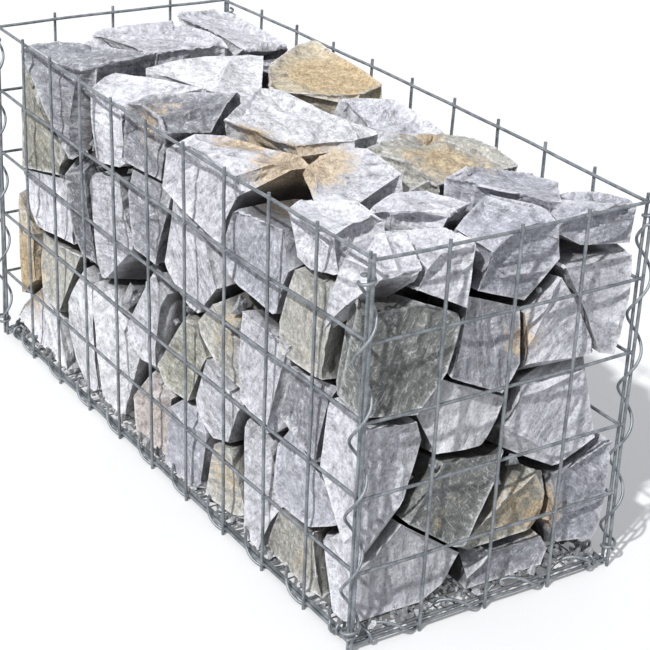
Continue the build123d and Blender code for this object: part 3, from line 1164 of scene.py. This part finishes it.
def sweepTree():
    tree, given = startTree("sweptWire", {"Radius": "Float", "Sides": "Int", "Material": "Material"})
    path = given["Geometry"].node("GeometryNodeMeshToCurve", None, {"Mesh": given["Geometry"]})
    bar = roundWire(path, given["Radius"], given["Sides"])
    smooth = bar.node("GeometryNodeSetShadeSmooth", None, {"Geometry": bar})
    endTree(tree, smooth, given["Material"])
    return tree


sweptWire = sweepTree()


# Turns of a spiral about along: outward and side span its circle, and it lies within the basket at inner
def spiralPoints(start, run, inner, outward, side, along):
    perTurn = spiralWire["stepsPerTurn"]
    steps = round(run / meshOpening * perTurn)
    hook = round(spiralWire["hookTurns"] * perTurn)
    narrowing = spiralWire["hookRadius"] - spiralWire["radius"]
    points = []
    for step in range(-hook, steps + hook + 1):
        past = max(-step, step - steps, 0) / hook
        kept = min(max(step, 0), steps)
        climb = (kept + (step - kept) * spiralWire["hookRise"]) / perTurn * meshOpening
        angle = math.pi + (step / perTurn - inner / meshOpening) * 2 * math.pi
        radius = spiralWire["radius"] + narrowing * min(past * 2, 1)
        points.append(start + (outward * math.cos(angle) + side * math.sin(angle)) * radius + along * climb)
    return points


def spiralPiece(node, points):
    line = bpy.data.meshes.new(node + "_line")
    line.from_pydata(points, [(step, step + 1) for step in range(len(points) - 1)], [])
    values = {"Radius": spiralWire["thickness"], "Sides": spiralWire["sides"], "Material": zincWire}
    addPiece(node + "_wire", grown(line, sweptWire, values), [node])


up = Vector((0, 0, 1))
for node in sorted(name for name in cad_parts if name.endswith("_spiral")):
    low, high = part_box(node)
    middle = (low + high) / 2
    if "bottom" in node:
        axis, half = (1, "length") if high.x - low.x > high.y - low.y else (0, "width")
        outward = Vector((0, 0, 0))
        outward[axis] = math.copysign(1, middle[axis])
        along = up.cross(outward)
        margin = spiralWire["lyingMargin"]
        start = middle - along * (basketHalf[half] - margin)
        run = 2 * (basketHalf[half] - margin)
        inner = spiralWire["lyingInner"] - margin
        points = spiralPoints(start, run, inner, outward, -up, along)
    else:
        outward = Vector((math.copysign(1, middle.x), math.copysign(1, middle.y), 0)).normalized()
        margin = spiralWire["standingMargin"]
        start = Vector((middle.x, middle.y, footLevel + margin))
        run = basketHeight - 2 * margin
        inner = spiralWire["standingInner"] - margin
        points = spiralPoints(start, run, inner, outward, up.cross(outward), up)
    spiralPiece(node, points)
print("spirals ready")


# Pale floor under the basket, and light
stageLook = {
    "floorReach": 9.0,
    "floorSides": 96,
    "floorRough": 0.9,
    "seenColour": (0.86, 0.86, 0.86, 1.0),
    "bounceColour": (0.40, 0.40, 0.40, 1.0),
    "seenWhite": 0.15,
}
sunLight = {"towards": (-0.30, 0.62, -0.72), "power": 3.15, "angle": 0.030}
skyLight = {"colour": (0.90, 0.93, 1.0, 1.0), "power": 0.55}


def seenByViewer(tree):
    path = sourceNode(tree, "ShaderNodeLightPath", None, "Is Camera Ray")
    gloss = Sock(tree, path.out.node.outputs["Is Glossy Ray"])
    through = Sock(tree, path.out.node.outputs["Is Transmission Ray"])
    return path.maths("MAXIMUM", path.maths("MAXIMUM", path, gloss), through)


def mixInto(tree, end, factor, first, second):
    mixed = tree.nodes.new("ShaderNodeMixShader")
    feed(tree, mixed.inputs[0], factor)
    tree.links.new(first.outputs[0], mixed.inputs[1])
    tree.links.new(second.outputs[0], mixed.inputs[2])
    tree.links.new(mixed.outputs[0], end.inputs["Surface"])


def makeFloor():
    disc = bmesh.new()
    sides, reach = stageLook["floorSides"], stageLook["floorReach"]
    bmesh.ops.create_circle(disc, cap_ends=True, segments=sides, radius=reach)
    mesh = bpy.data.meshes.new("floor")
    disc.to_mesh(mesh)
    disc.free()
    material, tree, shader = startMaterial("paleFloor")
    seen = seenByViewer(tree)
    colour = blendColour(seen, stageLook["bounceColour"], stageLook["seenColour"])
    feed(tree, shader.inputs["Base Color"], colour)
    feed(tree, shader.inputs["Roughness"], stageLook["floorRough"])
    glow = tree.nodes.new("ShaderNodeEmission")
    glow.inputs["Color"].default_value = (1.0, 1.0, 1.0, 1.0)
    end = next(node for node in tree.nodes if node.type == "OUTPUT_MATERIAL")
    mixInto(tree, end, seen * stageLook["seenWhite"], shader, glow)
    mesh.materials.append(material)
    floor = bpy.data.objects.new("floor", mesh)
    bpy.context.scene.collection.objects.link(floor)


def makeLight():
    lamp = bpy.data.lights.new("key", "SUN")
    lamp.energy = sunLight["power"]
    lamp.angle = sunLight["angle"]
    key = bpy.data.objects.new("key", lamp)
    key.rotation_mode = "QUATERNION"
    key.rotation_quaternion = Vector(sunLight["towards"]).to_track_quat("-Z", "Y")
    bpy.context.scene.collection.objects.link(key)
    world = bpy.data.worlds.new("studio")
    world.use_nodes = True
    tree = world.node_tree
    tree.nodes.clear()
    sky = tree.nodes.new("ShaderNodeBackground")
    sky.inputs["Color"].default_value = skyLight["colour"]
    sky.inputs["Strength"].default_value = skyLight["power"]
    white = tree.nodes.new("ShaderNodeBackground")
    white.inputs["Color"].default_value = (1.0, 1.0, 1.0, 1.0)
    mixInto(tree, tree.nodes.new("ShaderNodeOutputWorld"), seenByViewer(tree), sky, white)
    bpy.context.scene.world = world


# Camera at the angle of the photograph
viewCamera = {
    "place": (1.9463, -1.2256, 1.2496),
    "azimuth": 56.11,
    "elevation": 24.87,
    "roll": 2.70,
    "focalPixels": 1780.3,
    "imagePixels": 650,
    "sensor": 36.0,
}


def makeCamera():
    azimuth = math.radians(viewCamera["azimuth"])
    elevation = math.radians(viewCamera["elevation"])
    roll = math.radians(viewCamera["roll"])
    level = math.cos(elevation)
    forward = Vector((-math.sin(azimuth) * level, math.cos(azimuth) * level, -math.sin(elevation)))
    levelRight = Vector((math.cos(azimuth), math.sin(azimuth), 0))
    right = levelRight * math.cos(roll) + levelRight.cross(forward) * math.sin(roll)
    lens = bpy.data.cameras.new("camera")
    lens.sensor_fit = "HORIZONTAL"
    lens.sensor_width = viewCamera["sensor"]
    lens.lens = viewCamera["focalPixels"] * viewCamera["sensor"] / viewCamera["imagePixels"]
    camera = bpy.data.objects.new("camera", lens)
    turn = Matrix((right, right.cross(forward), -forward)).transposed()
    camera.matrix_world = Matrix.Translation(viewCamera["place"]) @ turn.to_4x4()
    bpy.context.scene.collection.objects.link(camera)
    bpy.context.scene.camera = camera


makeFloor()
makeLight()
makeCamera()
bpy.context.scene.view_settings.view_transform = "Standard"
print("stage ready")
